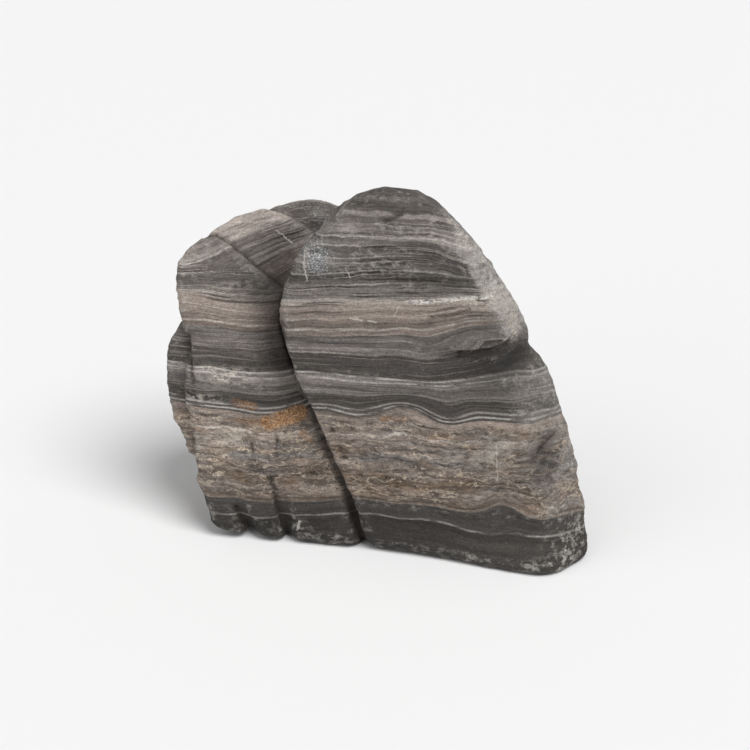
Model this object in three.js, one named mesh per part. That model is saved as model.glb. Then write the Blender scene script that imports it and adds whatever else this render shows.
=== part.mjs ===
// A banded sedimentary rock for an aquascape, one solid piece of stone.
// Units are millimetres. X runs left to right, Y from front to back and Z up.
// The form is a signed function that is negative inside the stone. Each lobe is an
// upright outline drawn out from front to back and closed by a leaning front face.

import * as THREE from 'three';

// Driving dimensions
const CELL = 5.43;             // edge of one meshing cell
const REACH = { x: [-118, 118], y: [-56, 86], z: [-10.2, 197] };
const TAPER = 0.0022;          // how fast every outline narrows per mm of depth
const BACK_AT_BASE = 75;       // the back face's place at the ground
const BACK_LEAN = 0.05;
const TOP_FALL = { y: 0.42, z: 0.907, reach: 186 };
const RIGHT_CORNER = { x: 0.62, y: 0.78, z: 0.10, reach: 95 };
const LEFT_CORNER = { x: -0.5, y: 0.866, z: 0.04, reach: 108 };
const BACK_FOOT = { x: 0.10, y: 0.92, z: -0.38, reach: 58 };
const LEFT_FOOT_X = -62;       // left of this the underside rises off the ground
const LEFT_FOOT_RISE = 0.16;
// Front faces: Y at the middle of the ground, and the lean per mm of X and of Z
const RIGHT_PLANE = { y: -14, turn: 0.33, turnLost: 0.0020, leastTurn: 0.04, lean: 0.03 };
const LEFT_PLANE = { y: -14.5, turn: 0.18, lean: 0.125 };
// How fast the faces fall back beyond their outlines
const RIGHT_FALL = 1.3;
const LEFT_FALL = { least: 0.12, more: 0.48, low: 25, high: 100 };
// The lip of the cap: its height at an X, its rise to the right, its depth and its ends
const LIP = { height: 113, x: 27, slope: 0.16, curlX: 45, curl: 0.012, depth: 10,
  starts: 12, full: 62, fades: 68, ends: 73 };
// How far each block's face stands behind the left block's
const STEP_BACK = { slab: 7, middle: 3.5, middleMore: 5, back: 12 };
const BACK_FACE = { furthest: 55, leanFrom: 168, lean: 0.8 };
const FACE_ROUNDING = 4;       // rounding of the edge around a front face
const RIGHT_ROUNDING = 5;
const CORNER_ROUNDINGS = { back: 22, top: 12, right: 26, left: 16, backFoot: 14, foot: 6, ground: 8 };

// Upright outlines, as [x, z] points
const RIGHT_LOBE = {
  depth: 10, centre: [15, 70],
  outline: [[-11, 182], [4, 188], [22, 185], [34, 177], [46, 165], [60, 146], [74, 119],
    [86, 92], [95, 65], [101, 42], [104, 9], [103, -14], [-1, -14], [-7, 0], [-12, 26],
    [-21, 49], [-30, 71], [-40, 94], [-45, 113], [-44, 132], [-39, 152], [-28, 167], [-18, 177]],
};
const LEFT_BLOCK = {
  depth: 30, centre: [-40, 60],
  outline: [[-95, 113], [-97, 132], [-97, 143], [-94, 150], [-87, 156], [-80, 157], [-74, 153],
    [-60, 139], [-46, 127], [-34, 116], [-12, 95], [18, 60], [24, -14], [-72, -14], [-80, 4],
    [-83, 14], [-88, 34], [-92, 52], [-95, 73], [-94, 95]],
};
const SIDE_SLAB = {
  depth: 30, centre: [-40, 60],
  outline: [[-98, 109], [-103, 102], [-106, 92], [-106, 77], [-104, 60], [-96, 42], [-85, 40],
    [-85, 108]],
};
const MIDDLE_BLOCK = {
  depth: 36, centre: [-40, 60],
  outline: [[-90, 150], [-82, 158], [-72, 164], [-58, 168], [-48, 165], [-38, 160], [-28, 154],
    [-10, 100], [-10, 40], [-86, 40], [-92, 138]],
};
const BACK_BLOCK = {
  depth: 44, centre: [-40, 60],
  outline: [[-64, 160], [-52, 168], [-39, 173], [-23, 178], [-4, 183], [12, 178], [0, 60],
    [-60, 60]],
};
// Where the right lobe's face ends in a ridge and starts to lean back
const RIGHT_FACE = [[-60, 176], [12, 173], [26, 172], [36, 166], [44, 157], [49, 147], [61, 130],
  [68, 118], [64, 103], [75, 70], [86, 34], [90, -20], [-60, -20]];
// Where the left block's face turns into the valley beside the right lobe
const LEFT_FACE = [[-130, 150], [-93, 150], [-90, 139], [-74, 119], [-57, 83], [-38, 46],
  [-22, 8], [-20, -20], [-130, -20]];
// Grooves that part the feet: place at the ground, lean, height, depth and half width
const GROOVES = [
  { x: -62, lean: -0.40, top: 30, depth: 6, width: 4 },
  { x: -44, lean: -0.15, top: 40, depth: 5, width: 3.5 },
  { x: -4, lean: -0.32, top: 45, depth: 4, width: 3 },
];
// Worn hollows on the front: centre, depth and radius
const DENTS = [
  { x: 84, z: 58, depth: 3.0, radius: 8 },
  { x: 99, z: 36, depth: 2.5, radius: 9 },
  { x: -68, z: 60, depth: 1.5, radius: 12 },
  { x: 69, z: 107, depth: 6.0, radius: 9.5 },
];
// Broad swellings: size, wavelengths in mm along X, Y and Z, and a shift
const LUMPS = [
  { size: 1.5, x: 19, y: 27, z: 24, shift: 0.6 }, { size: 1.0, x: 11, y: 14, z: 17, shift: 2.1 },
];
const LUMPS_ON_FRONT = 0.35;   // the front face shows only this much of them
// Heights where a hard bed stands out, as a ledge, and by how much
const LEDGES = [
  { z: 30, width: 5, rise: 0.9 }, { z: 52, width: 4, rise: -0.5 }, { z: 84, width: 6, rise: 0.8 },
  { z: 104, width: 4, rise: -0.9 }, { z: 126, width: 7, rise: 0.7 }, { z: 150, width: 5, rise: -0.7 },
];

// Blends and ramps
function smoothMin(a, b, width) {
  const overlap = Math.max(width - Math.abs(a - b), 0) / width;
  return Math.min(a, b) - overlap * overlap * width * 0.25;
}

function smoothMax(a, b, width) {
  return -smoothMin(-a, -b, width);
}

function fade(from, to, value) {
  const t = THREE.MathUtils.clamp((value - from) / (to - from), 0, 1);
  return t * t * (3 - 2 * t);
}

function positivePart(value, softness) {
  return 0.5 * (value + Math.sqrt(value * value + softness * softness));
}

// Signed distance to a closed outline, positive outside it
function outlineDistance(points, x, z) {
  let nearest = Infinity;
  let sign = 1;
  let [lastX, lastZ] = points[points.length - 1];
  for (const [pointX, pointZ] of points) {
    const edgeX = lastX - pointX;
    const edgeZ = lastZ - pointZ;
    const toX = x - pointX;
    const toZ = z - pointZ;
    const along = THREE.MathUtils.clamp(
      (toX * edgeX + toZ * edgeZ) / (edgeX * edgeX + edgeZ * edgeZ), 0, 1);
    nearest = Math.min(nearest, (toX - edgeX * along) ** 2 + (toZ - edgeZ * along) ** 2);
    const above = z >= pointZ;
    const below = z < lastZ;
    const leftOf = edgeX * toZ > edgeZ * toX;
    if ((above && below && leftOf) || (!above && !below && !leftOf)) sign = -sign;
    [lastX, lastZ] = [pointX, pointZ];
  }
  return sign * Math.sqrt(nearest);
}

// An outline drawn out along Y that narrows toward the back
function drawnOut(lobe, x, y, z) {
  const scale = THREE.MathUtils.clamp(1 - TAPER * (y - lobe.depth), 0.6, 1.25);
  const [centreX, centreZ] = lobe.centre;
  const flatX = centreX + (x - centreX) / scale;
  const flatZ = centreZ + (z - centreZ) / scale;
  return scale * outlineDistance(lobe.outline, flatX, flatZ);
}

// The right lobe, with a cap that overhangs the face below it
function rightLobe(x, y, z) {
  const { y: start, turn, turnLost, leastTurn, lean } = RIGHT_PLANE;
  const turned = Math.max(turn - turnLost * z, leastTurn) * x;
  const curl = LIP.curl * Math.max(x - LIP.curlX, 0) ** 2;
  const lipHeight = LIP.height + LIP.slope * (x - LIP.x) + curl;
  const lipEnds = fade(LIP.starts, LIP.full, x) * fade(LIP.ends, LIP.fades, x);
  const overhang = LIP.depth * lipEnds * fade(-2, 2, z - lipHeight);
  const softness = 2 + 6 * fade(112, 90, z);
  const fallBack = RIGHT_FALL * positivePart(outlineDistance(RIGHT_FACE, x, z), softness);
  const face = start - turned + lean * z - overhang + fallBack;
  return smoothMax(drawnOut(RIGHT_LOBE, x, y, z), (face - y) * 0.8, RIGHT_ROUNDING);
}

function leftFacePlane(x, z) {
  return LEFT_PLANE.y - LEFT_PLANE.turn * x + LEFT_PLANE.lean * z;
}

// The front of the left blocks, which falls away into the valley
function leftFace(x, z) {
  const intoValley = LEFT_FALL.least + LEFT_FALL.more * fade(LEFT_FALL.low, LEFT_FALL.high, z);
  return leftFacePlane(x, z) + intoValley * positivePart(outlineDistance(LEFT_FACE, x, z), 6);
}

function leftBlock(x, y, z) {
  const face = (leftFace(x, z) - y) * 0.85;
  return smoothMax(drawnOut(LEFT_BLOCK, x, y, z), face, FACE_ROUNDING);
}

function sideSlab(x, y, z) {
  const face = leftFacePlane(x, z) + STEP_BACK.slab - y;
  return smoothMax(drawnOut(SIDE_SLAB, x, y, z), face, FACE_ROUNDING);
}

// Each block behind stands a step further back
function middleBlock(x, y, z) {
  const face = leftFace(x, z) + STEP_BACK.middle + STEP_BACK.middleMore * fade(-85, -50, x);
  return smoothMax(drawnOut(MIDDLE_BLOCK, x, y, z), (face - y) * 0.8, FACE_ROUNDING);
}

function backBlock(x, y, z) {
  const upright = Math.min(leftFace(x, z) + STEP_BACK.back, BACK_FACE.furthest);
  const face = upright + BACK_FACE.lean * positivePart(z - BACK_FACE.leanFrom, 5);
  return smoothMax(drawnOut(BACK_BLOCK, x, y, z), (face - y) * 0.8, FACE_ROUNDING);
}

function grooveDepth(groove, x, y, z) {
  const across = (x - groove.x - groove.lean * z) / groove.width;
  return groove.depth * fade(groove.top, 0, z) * Math.exp(-across * across) * fade(35, 20, y);
}

function dentDepth(dent, x, y, z) {
  const away = ((x - dent.x) ** 2 + (z - dent.z) ** 2) / dent.radius ** 2;
  return dent.depth * Math.exp(-away) * fade(30, 10, y);
}

function ledgeRise(ledge, z) {
  return ledge.rise * Math.exp(-(((z - ledge.z) / ledge.width) ** 2));
}

function lumpRise(lump, x, y, z) {
  const along = Math.sin(x / lump.x + lump.shift) + Math.sin(y / lump.y + z / lump.x);
  return lump.size * along * Math.sin(z / lump.z + y / lump.x + lump.shift);
}

// The whole stone
function stoneForm(x, y, z) {
  let form = smoothMin(leftBlock(x, y, z), sideSlab(x, y, z), 1);
  form = smoothMin(form, middleBlock(x, y, z), 1.5);
  form = smoothMin(form, backBlock(x, y, z), 1.5);
  form = smoothMin(form, rightLobe(x, y, z), 2);
  for (const groove of GROOVES) form += grooveDepth(groove, x, y, z);
  for (const dent of DENTS) form += dentDepth(dent, x, y, z);
  for (const ledge of LEDGES) form -= ledgeRise(ledge, z);
  const { back, top, right, left, backFoot, foot, ground } = CORNER_ROUNDINGS;
  form = smoothMax(form, y - BACK_AT_BASE + BACK_LEAN * z, back);
  for (const [cut, width] of [[RIGHT_CORNER, right], [LEFT_CORNER, left], [BACK_FOOT, backFoot]]) {
    form = smoothMax(form, cut.x * x + cut.y * y + cut.z * z - cut.reach, width);
  }
  form = smoothMax(form, TOP_FALL.y * y + TOP_FALL.z * z - TOP_FALL.reach, top);
  const lumpShare = LUMPS_ON_FRONT + (1 - LUMPS_ON_FRONT) * fade(-5, 45, y) * fade(165, 120, z);
  for (const lump of LUMPS) form -= lumpShare * lumpRise(lump, x, y, z);
  form = smoothMax(form, -(z - LEFT_FOOT_RISE * (LEFT_FOOT_X - x)), foot);
  return smoothMax(form, -z, ground);
}

// Meshing: one vertex in every cell that the surface crosses, four of them to a face
function cellCount([low, high]) {
  return Math.ceil((high - low) / CELL);
}

function sampleForm(counts) {
  const values = new Float64Array((counts[0] + 1) * (counts[1] + 1) * (counts[2] + 1));
  let at = 0;
  for (let k = 0; k <= counts[2]; k++) {
    for (let j = 0; j <= counts[1]; j++) {
      for (let i = 0; i <= counts[0]; i++) {
        values[at++] = stoneForm(
          REACH.x[0] + i * CELL, REACH.y[0] + j * CELL, REACH.z[0] + k * CELL);
      }
    }
  }
  return values;
}

// The middle of the places where the surface crosses the cell's twelve edges
function cellVertex(corners) {
  const middle = new THREE.Vector3();
  let crossings = 0;
  for (let a = 0; a < 8; a++) {
    for (const axis of [1, 2, 4]) {
      const b = a | axis;
      if (b === a || (corners[a] < 0) === (corners[b] < 0)) continue;
      const t = corners[a] / (corners[a] - corners[b]);
      middle.x += (a & 1) + (axis === 1 ? t : 0);
      middle.y += ((a >> 1) & 1) + (axis === 2 ? t : 0);
      middle.z += ((a >> 2) & 1) + (axis === 4 ? t : 0);
      crossings += 1;
    }
  }
  return crossings ? middle.divideScalar(crossings) : null;
}

function formSlope(x, y, z) {
  const d = 0.2;
  return new THREE.Vector3(
    stoneForm(x + d, y, z) - stoneForm(x - d, y, z),
    stoneForm(x, y + d, z) - stoneForm(x, y - d, z),
    stoneForm(x, y, z + d) - stoneForm(x, y, z - d)).divideScalar(2 * d);
}

// Moves a point along the form's slope until it lies on the surface
function settle(point) {
  for (let round = 0; round < 4; round++) {
    const slope = formSlope(point.x, point.y, point.z);
    const push = stoneForm(point.x, point.y, point.z) / Math.max(slope.lengthSq(), 0.2);
    point.addScaledVector(slope, -THREE.MathUtils.clamp(push, -2, 2));
  }
  if (point.z < 0.15) point.z = 0;
}

function stoneGeometry() {
  const counts = [cellCount(REACH.x), cellCount(REACH.y), cellCount(REACH.z)];
  const values = sampleForm(counts);
  const row = counts[0] + 1;
  const sheet = row * (counts[1] + 1);
  const vertexOf = new Map();
  const points = [];
  const indices = [];
  for (let k = 0; k < counts[2]; k++) {
    for (let j = 0; j < counts[1]; j++) {
      for (let i = 0; i < counts[0]; i++) {
        const at = i + j * row + k * sheet;
        const corners = [];
        for (let c = 0; c < 8; c++) {
          corners.push(values[at + (c & 1) + ((c >> 1) & 1) * row + ((c >> 2) & 1) * sheet]);
        }
        const vertex = cellVertex(corners);
        if (!vertex) continue;
        vertexOf.set(at, points.length);
        points.push(new THREE.Vector3(
          REACH.x[0] + (i + vertex.x) * CELL,
          REACH.y[0] + (j + vertex.y) * CELL,
          REACH.z[0] + (k + vertex.z) * CELL));
      }
    }
  }
  // Each grid edge that the surface crosses carries one face, between its four cells
  const steps = [1, row, sheet];
  for (const at of vertexOf.keys()) {
    for (let axis = 0; axis < 3; axis++) {
      const inside = values[at] < 0;
      if (inside === values[at + steps[axis]] < 0) continue;
      const u = steps[(axis + 1) % 3];
      const v = steps[(axis + 2) % 3];
      const ring = [at, at - u, at - u - v, at - v].map((cell) => vertexOf.get(cell));
      if (!inside) ring.reverse();
      indices.push(ring[0], ring[1], ring[2], ring[0], ring[2], ring[3]);
    }
  }
  points.forEach(settle);
  const geometry = new THREE.BufferGeometry();
  geometry.setAttribute('position', new THREE.Float32BufferAttribute(
    points.flatMap((point) => point.toArray()), 3));
  geometry.setIndex(indices);
  geometry.computeVertexNormals();
  return geometry;
}

// Banded grey stone, dull and dry
function stoneMaterial() {
  return new THREE.MeshStandardMaterial({ color: 0x6f6a65, roughness: 0.85, metalness: 0 });
}

// The stone stands on its flat base with the middle of its bounds over the origin
function stone() {
  const geometry = stoneGeometry();
  geometry.computeBoundingBox();
  const middle = geometry.boundingBox.getCenter(new THREE.Vector3());
  geometry.translate(-middle.x, -middle.y, 0);
  const mesh = new THREE.Mesh(geometry, stoneMaterial());
  mesh.name = 'stone';
  return mesh;
}

const rock = new THREE.Group();
rock.add(stone());

export default rock;
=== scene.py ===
"""A banded aquascaping rock: one stone, with its fine relief and its procedural material.

Shapes are worked out in millimetres in the stone's own frame, as its solid is, and the
finished mesh is turned into metres at the end. X runs left to right, Y to the back, Z up.
"""
import math

import bpy
import numpy as np
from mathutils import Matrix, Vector, noise


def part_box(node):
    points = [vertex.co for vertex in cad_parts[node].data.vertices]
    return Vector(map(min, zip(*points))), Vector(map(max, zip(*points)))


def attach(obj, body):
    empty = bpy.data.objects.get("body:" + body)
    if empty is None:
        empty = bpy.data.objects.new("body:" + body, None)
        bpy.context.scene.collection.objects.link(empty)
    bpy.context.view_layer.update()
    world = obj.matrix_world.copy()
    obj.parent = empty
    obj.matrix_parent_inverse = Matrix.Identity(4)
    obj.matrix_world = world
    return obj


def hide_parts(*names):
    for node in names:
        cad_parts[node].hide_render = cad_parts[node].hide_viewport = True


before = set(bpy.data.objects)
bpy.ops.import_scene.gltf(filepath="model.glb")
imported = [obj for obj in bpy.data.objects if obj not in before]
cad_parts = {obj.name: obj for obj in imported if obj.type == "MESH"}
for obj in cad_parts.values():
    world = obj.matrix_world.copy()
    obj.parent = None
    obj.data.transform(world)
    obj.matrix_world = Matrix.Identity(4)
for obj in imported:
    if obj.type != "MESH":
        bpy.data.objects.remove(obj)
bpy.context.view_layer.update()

MM = 0.001

# Camera, in mm, degrees and pixels of the photograph, which is 750 pixels square
CAMERA_DISTANCE = 900.0
CAMERA_HEIGHT_ANGLE = 24.0
CAMERA_AIM = (-0.49, -18.15, 94.0)
HALF_PHOTO = 375
FOCAL_LENGTH = 1800
HALF_VIEW = math.atan(HALF_PHOTO / FOCAL_LENGTH)

# Lights: direction toward the light, strength and spread in degrees
KEY_LIGHT = ((0.35, -0.45, 0.82), 2.5, 35)
FILL_LIGHT = ((-0.65, -0.45, 0.6), 0.6, 60)
WORLD_STRENGTH = 0.27
FLOOR_TONE = (0.9, 0.9, 0.9, 1)
FLOOR_REACH = 6.0              # metres

# Grid of the mesh, in mm
CELL = np.array([1.55, 1.55, 0.8])
LOW = np.array([-118.0, -57.0, -5.6])
HIGH = np.array([118.0, 86.0, 197.0])
COARSE_STEP = 4                # the form is first worked out at every fourth grid point
NEAR = 4.0                     # and then at each point that is this near to the surface

# Form of the stone, in mm
TAPER = 0.0022                 # how fast every outline narrows per mm of depth
BACK_AT_BASE = 75.0            # the back face's place at the ground
BACK_LEAN = 0.05
BACK_ROUNDING = 22
# Cuts at the right, the left, the back's foot and the top: x, y and z parts, reach, rounding
CUTS = [
    (0.62, 0.78, 0.10, 95.0, 26.0),
    (-0.50, 0.866, 0.04, 108.0, 16.0),
    (0.10, 0.92, -0.38, 58.0, 14.0),
    (0.0, 0.42, 0.907, 186.0, 12.0),
]
LEFT_FOOT_X = -62.0            # left of this the underside rises off the ground
LEFT_FOOT_RISE = 0.16
FOOT_ROUNDING = 6
GROUND_ROUNDING = 8
# Front faces: Y at the middle of the ground, and the lean per mm of X and of Z
RIGHT_PLACE = -14
RIGHT_TURN = 0.33
TURN_LOST = 0.0020             # per mm of height
LEAST_TURN = 0.04
RIGHT_LEAN = 0.03
LEFT_PLACE = -14.5
LEFT_TURN = 0.18
LEFT_LEAN = 0.125
# How fast the faces fall back beyond their outlines
RIGHT_FALL = 1.3
LEFT_FALL = 0.12
LEFT_FALL_MORE = 0.48          # added to it higher up
# The lip of the cap
LIP_X = 27
LIP_HEIGHT = 113               # at LIP_X
LIP_SLOPE = 0.16
LIP_CURL_X = 45                # right of this the lip curls up
LIP_CURL = 0.012
LIP_DEPTH = 10.0
LIP_START = (12, 62)           # where it starts and where it has its full depth
LIP_END = 73
LIP_END_LENGTH = 5
# How far each block's face stands behind the left block's
SLAB_BACK = 7
MIDDLE_BACK = 3.5
MIDDLE_BACK_MORE = 5           # at its right end
BACK_BLOCK_BACK = 12
BACK_BLOCK_FURTHEST = 55
BACK_BLOCK_LEAN = 0.8
BACK_BLOCK_LEAN_FROM = 168
FACE_ROUNDING = 4              # of the edge around a front face
RIGHT_ROUNDING = 5

# Upright outlines: depth where each is full size, centre, and its (x, z) points
RIGHT_LOBE = (10, (15, 70), [
    (-11, 182), (4, 188), (22, 185), (34, 177), (46, 165), (60, 146), (74, 119), (86, 92),
    (95, 65), (101, 42), (104, 9), (103, -14), (-1, -14), (-7, 0), (-12, 26), (-21, 49),
    (-30, 71), (-40, 94), (-45, 113), (-44, 132), (-39, 152), (-28, 167), (-18, 177)])
LEFT_BLOCK = (30, (-40, 60), [
    (-95, 113), (-97, 132), (-97, 143), (-94, 150), (-87, 156), (-80, 157), (-74, 153),
    (-60, 139), (-46, 127), (-34, 116), (-12, 95), (18, 60), (24, -14), (-72, -14), (-80, 4),
    (-83, 14), (-88, 34), (-92, 52), (-95, 73), (-94, 95)])
SIDE_SLAB = (30, (-40, 60), [
    (-98, 109), (-103, 102), (-106, 92), (-106, 77), (-104, 60), (-96, 42), (-85, 40),
    (-85, 108)])
MIDDLE_BLOCK = (36, (-40, 60), [
    (-90, 150), (-82, 158), (-72, 164), (-58, 168), (-48, 165), (-38, 160), (-28, 154),
    (-10, 100), (-10, 40), (-86, 40), (-92, 138)])
BACK_BLOCK = (44, (-40, 60), [
    (-64, 160), (-52, 168), (-39, 173), (-23, 178), (-4, 183), (12, 178), (0, 60), (-60, 60)])
# Where the faces of the right lobe and of the left block end, as (x, z) points
RIGHT_FACE = [(-60, 176), (12, 173), (26, 172), (36, 166), (44, 157), (49, 147), (61, 130),
              (68, 118), (64, 103), (75, 70), (86, 34), (90, -20), (-60, -20)]
LEFT_FACE = [(-130, 150), (-93, 150), (-90, 139), (-74, 119), (-57, 83), (-38, 46), (-22, 8),
             (-20, -20), (-130, -20)]
# Grooves that part the feet: place at the ground, lean, height, depth and half width
GROOVES = [(-62, -0.40, 30, 6, 4), (-44, -0.15, 40, 5, 3.5), (-4, -0.32, 45, 4, 3)]
# Worn hollows on the front: x, z, depth and radius
DENTS = [(84, 58, 3.0, 8), (99, 36, 2.5, 9), (-68, 60, 1.5, 12), (69, 107, 6.0, 9.5)]
# Broad swellings: size, wavelengths along X, Y and Z, and a shift
LUMPS = [(1.5, 19, 27, 24, 0.6), (1.0, 11, 14, 17, 2.1)]
LUMPS_ON_FRONT = 0.35          # the front face shows only this much of them
# Ledges of hard beds: height, half width and rise
LEDGES = [(30, 5, 0.9), (52, 4, -0.5), (84, 6, 0.8), (104, 4, -0.9), (126, 7, 0.7),
          (150, 5, -0.7)]


def smooth_min(a, b, width):
    overlap = np.maximum(width - np.abs(a - b), 0) / width
    return np.minimum(a, b) - overlap * overlap * width * 0.25


def smooth_max(a, b, width):
    return -smooth_min(-a, -b, width)


def fade(low, high, value):
    """0 at one end of a range and 1 at the other, with a soft change between."""
    t = np.clip((value - low) / (high - low), 0, 1)
    return t * t * (3 - 2 * t)


def positive_part(value, softness):
    return 0.5 * (value + np.sqrt(value * value + softness * softness))


def outline_distance(points, x, z):
    """Signed distance to a closed outline, positive outside it."""
    nearest = np.full(x.shape, np.inf)
    sign = np.ones(x.shape)
    last_x, last_z = points[-1]
    for point_x, point_z in points:
        edge_x, edge_z = last_x - point_x, last_z - point_z
        to_x, to_z = x - point_x, z - point_z
        along = (to_x * edge_x + to_z * edge_z) / (edge_x ** 2 + edge_z ** 2)
        along = np.clip(along, 0, 1)
        gap = (to_x - edge_x * along) ** 2 + (to_z - edge_z * along) ** 2
        nearest = np.minimum(nearest, gap)
        above, below = z >= point_z, z < last_z
        left_of = edge_x * to_z > edge_z * to_x
        crosses = (above & below & left_of) | ~(above | below | left_of)
        sign = np.where(crosses, -sign, sign)
        last_x, last_z = point_x, point_z
    return sign * np.sqrt(nearest)


def drawn_out(lobe, x, y, z):
    """An outline drawn out along Y that narrows toward the back."""
    depth, (centre_x, centre_z), outline = lobe
    scale = np.clip(1 - TAPER * (y - depth), 0.6, 1.25)
    flat_x = centre_x + (x - centre_x) / scale
    flat_z = centre_z + (z - centre_z) / scale
    return scale * outline_distance(outline, flat_x, flat_z)


def right_lobe(x, y, z):
    """The right lobe, with a cap that overhangs the face below it."""
    turn = np.maximum(RIGHT_TURN - TURN_LOST * z, LEAST_TURN)
    lip = LIP_HEIGHT + LIP_SLOPE * (x - LIP_X) + LIP_CURL * np.maximum(x - LIP_CURL_X, 0) ** 2
    overhang = LIP_DEPTH * fade(*LIP_START, x) * fade(-2, 2, z - lip)
    overhang = overhang * fade(0, LIP_END_LENGTH, LIP_END - x)
    softness = 2 + 6 * fade(112, 90, z)
    lean_back = RIGHT_FALL * positive_part(outline_distance(RIGHT_FACE, x, z), softness)
    face = RIGHT_PLACE - turn * x + RIGHT_LEAN * z - overhang + lean_back
    return smooth_max(drawn_out(RIGHT_LOBE, x, y, z), (face - y) * 0.8, RIGHT_ROUNDING)


def left_face_plane(x, z):
    return LEFT_PLACE - LEFT_TURN * x + LEFT_LEAN * z


def left_face(x, z):
    """The front of the left blocks, which falls away into the valley."""
    into_valley = LEFT_FALL + LEFT_FALL_MORE * fade(25, 100, z)
    return left_face_plane(x, z) + into_valley * positive_part(outline_distance(LEFT_FACE, x, z), 6)


def left_block(x, y, z):
    face = (left_face(x, z) - y) * 0.85
    return smooth_max(drawn_out(LEFT_BLOCK, x, y, z), face, FACE_ROUNDING)


def side_slab(x, y, z):
    face = left_face_plane(x, z) + SLAB_BACK - y
    return smooth_max(drawn_out(SIDE_SLAB, x, y, z), face, FACE_ROUNDING)


def middle_block(x, y, z):
    face = left_face(x, z) + MIDDLE_BACK + MIDDLE_BACK_MORE * fade(-85, -50, x)
    return smooth_max(drawn_out(MIDDLE_BLOCK, x, y, z), (face - y) * 0.8, FACE_ROUNDING)


def back_block(x, y, z):
    face = np.minimum(left_face(x, z) + BACK_BLOCK_BACK, BACK_BLOCK_FURTHEST)
    face = face + BACK_BLOCK_LEAN * positive_part(z - BACK_BLOCK_LEAN_FROM, 5)
    return smooth_max(drawn_out(BACK_BLOCK, x, y, z), (face - y) * 0.8, FACE_ROUNDING)


def stone_form(x, y, z):
    """The whole stone: negative inside, in mm."""
    form = smooth_min(left_block(x, y, z), side_slab(x, y, z), 1)
    form = smooth_min(form, middle_block(x, y, z), 1.5)
    form = smooth_min(form, back_block(x, y, z), 1.5)
    form = smooth_min(form, right_lobe(x, y, z), 2)
    for place, lean, top, depth, width in GROOVES:
        across = (x - place - lean * z) / width
        form = form + depth * fade(top, 0, z) * np.exp(-across ** 2) * fade(35, 20, y)
    for dent_x, dent_z, depth, radius in DENTS:
        away = ((x - dent_x) ** 2 + (z - dent_z) ** 2) / radius ** 2
        form = form + depth * np.exp(-away) * fade(30, 10, y)
    for height, width, rise in LEDGES:
        form = form - rise * np.exp(-((z - height) / width) ** 2)
    form = smooth_max(form, y - BACK_AT_BASE + BACK_LEAN * z, BACK_ROUNDING)
    for part_x, part_y, part_z, reach, rounding in CUTS:
        form = smooth_max(form, part_x * x + part_y * y + part_z * z - reach, rounding)
    share = LUMPS_ON_FRONT + (1 - LUMPS_ON_FRONT) * fade(-5, 45, y) * fade(165, 120, z)
    for size, wave_x, wave_y, wave_z, shift in LUMPS:
        along = np.sin(x / wave_x + shift) + np.sin(y / wave_y + z / wave_x)
        form = form - share * size * along * np.sin(z / wave_z + y / wave_x + shift)
    form = smooth_max(form, -(z - LEFT_FOOT_RISE * (LEFT_FOOT_X - x)), FOOT_ROUNDING)
    return smooth_max(form, -z, GROUND_ROUNDING)


# Meshing: one vertex in every cell that the surface crosses, four of them to a face

def finer(values, axis):
    """Fills in the values that COARSE_STEP leaves out along one axis."""
    values = np.moveaxis(values, axis, 0)
    shares = [k / COARSE_STEP for k in range(COARSE_STEP)]
    between = [values[:-1] * (1 - t) + values[1:] * t for t in shares]
    filled = np.stack(between, 1).reshape((-1,) + values.shape[1:])
    filled = np.concatenate([filled, values[-1:]])
    return np.moveaxis(filled, 0, axis)


def sampled_form():
    """The form on the grid, exact where it is NEAR the surface."""
    counts = np.ceil((HIGH - LOW) / CELL / COARSE_STEP).astype(int) * COARSE_STEP
    lines = [LOW[i] + CELL[i] * np.arange(counts[i] + 1) for i in range(3)]
    coarse = np.meshgrid(*[line[::COARSE_STEP] for line in lines], indexing="ij")
    values = stone_form(*coarse)
    for axis in range(3):
        values = finer(values, axis)
    at = np.nonzero(np.abs(values) < NEAR)
    values[at] = stone_form(*[lines[i][at[i]] for i in range(3)])
    return values


def cell_corners(values):
    """The eight corner values of every cell that the surface crosses."""
    nx, ny, nz = (n - 1 for n in values.shape)
    corners = []
    for c in range(8):
        i, j, k = c & 1, (c >> 1) & 1, (c >> 2) & 1
        corners.append(values[i:nx + i, j:ny + j, k:nz + k])
    inside = sum((corner < 0).astype(np.int8) for corner in corners)
    cells = np.nonzero((inside > 0) & (inside < 8))
    return cells, np.stack([corner[cells] for corner in corners])


def cell_middles(corners):
    """The mean of the places where the surface crosses a cell's edges, in cells."""
    total = np.zeros((3, corners.shape[1]))
    crossings = np.zeros(corners.shape[1])
    for a in range(8):
        for axis in range(3):
            b = a | (1 << axis)
            if b == a:
                continue
            crossed = (corners[a] < 0) != (corners[b] < 0)
            span = np.where(crossed, corners[a] - corners[b], 1)
            t = corners[a] / span
            for other in range(3):
                start = (a >> other) & 1
                total[other] += np.where(crossed, start + (t if other == axis else 0), 0)
            crossings += crossed
    return (total / crossings).T


def cell_faces(values, index_of):
    """One face for each grid edge that the surface crosses, between its four cells."""
    faces = []
    inside = values < 0
    for axis in range(3):
        ahead = np.roll(inside, -1, axis)
        crossed = inside != ahead
        crossed[tuple(slice(-1, None) if i == axis else slice(None) for i in range(3))] = False
        at = np.stack(np.nonzero(crossed))
        u = np.zeros((3, 1), int)
        v = np.zeros((3, 1), int)
        u[(axis + 1) % 3] = 1
        v[(axis + 2) % 3] = 1
        ring = np.stack([index_of[tuple(at - step)] for step in (0 * u, u, u + v, v)], 1)
        outward = inside[tuple(at)]
        faces.append(np.where(outward[:, None], ring, ring[:, ::-1]))
    return np.concatenate(faces)


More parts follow.
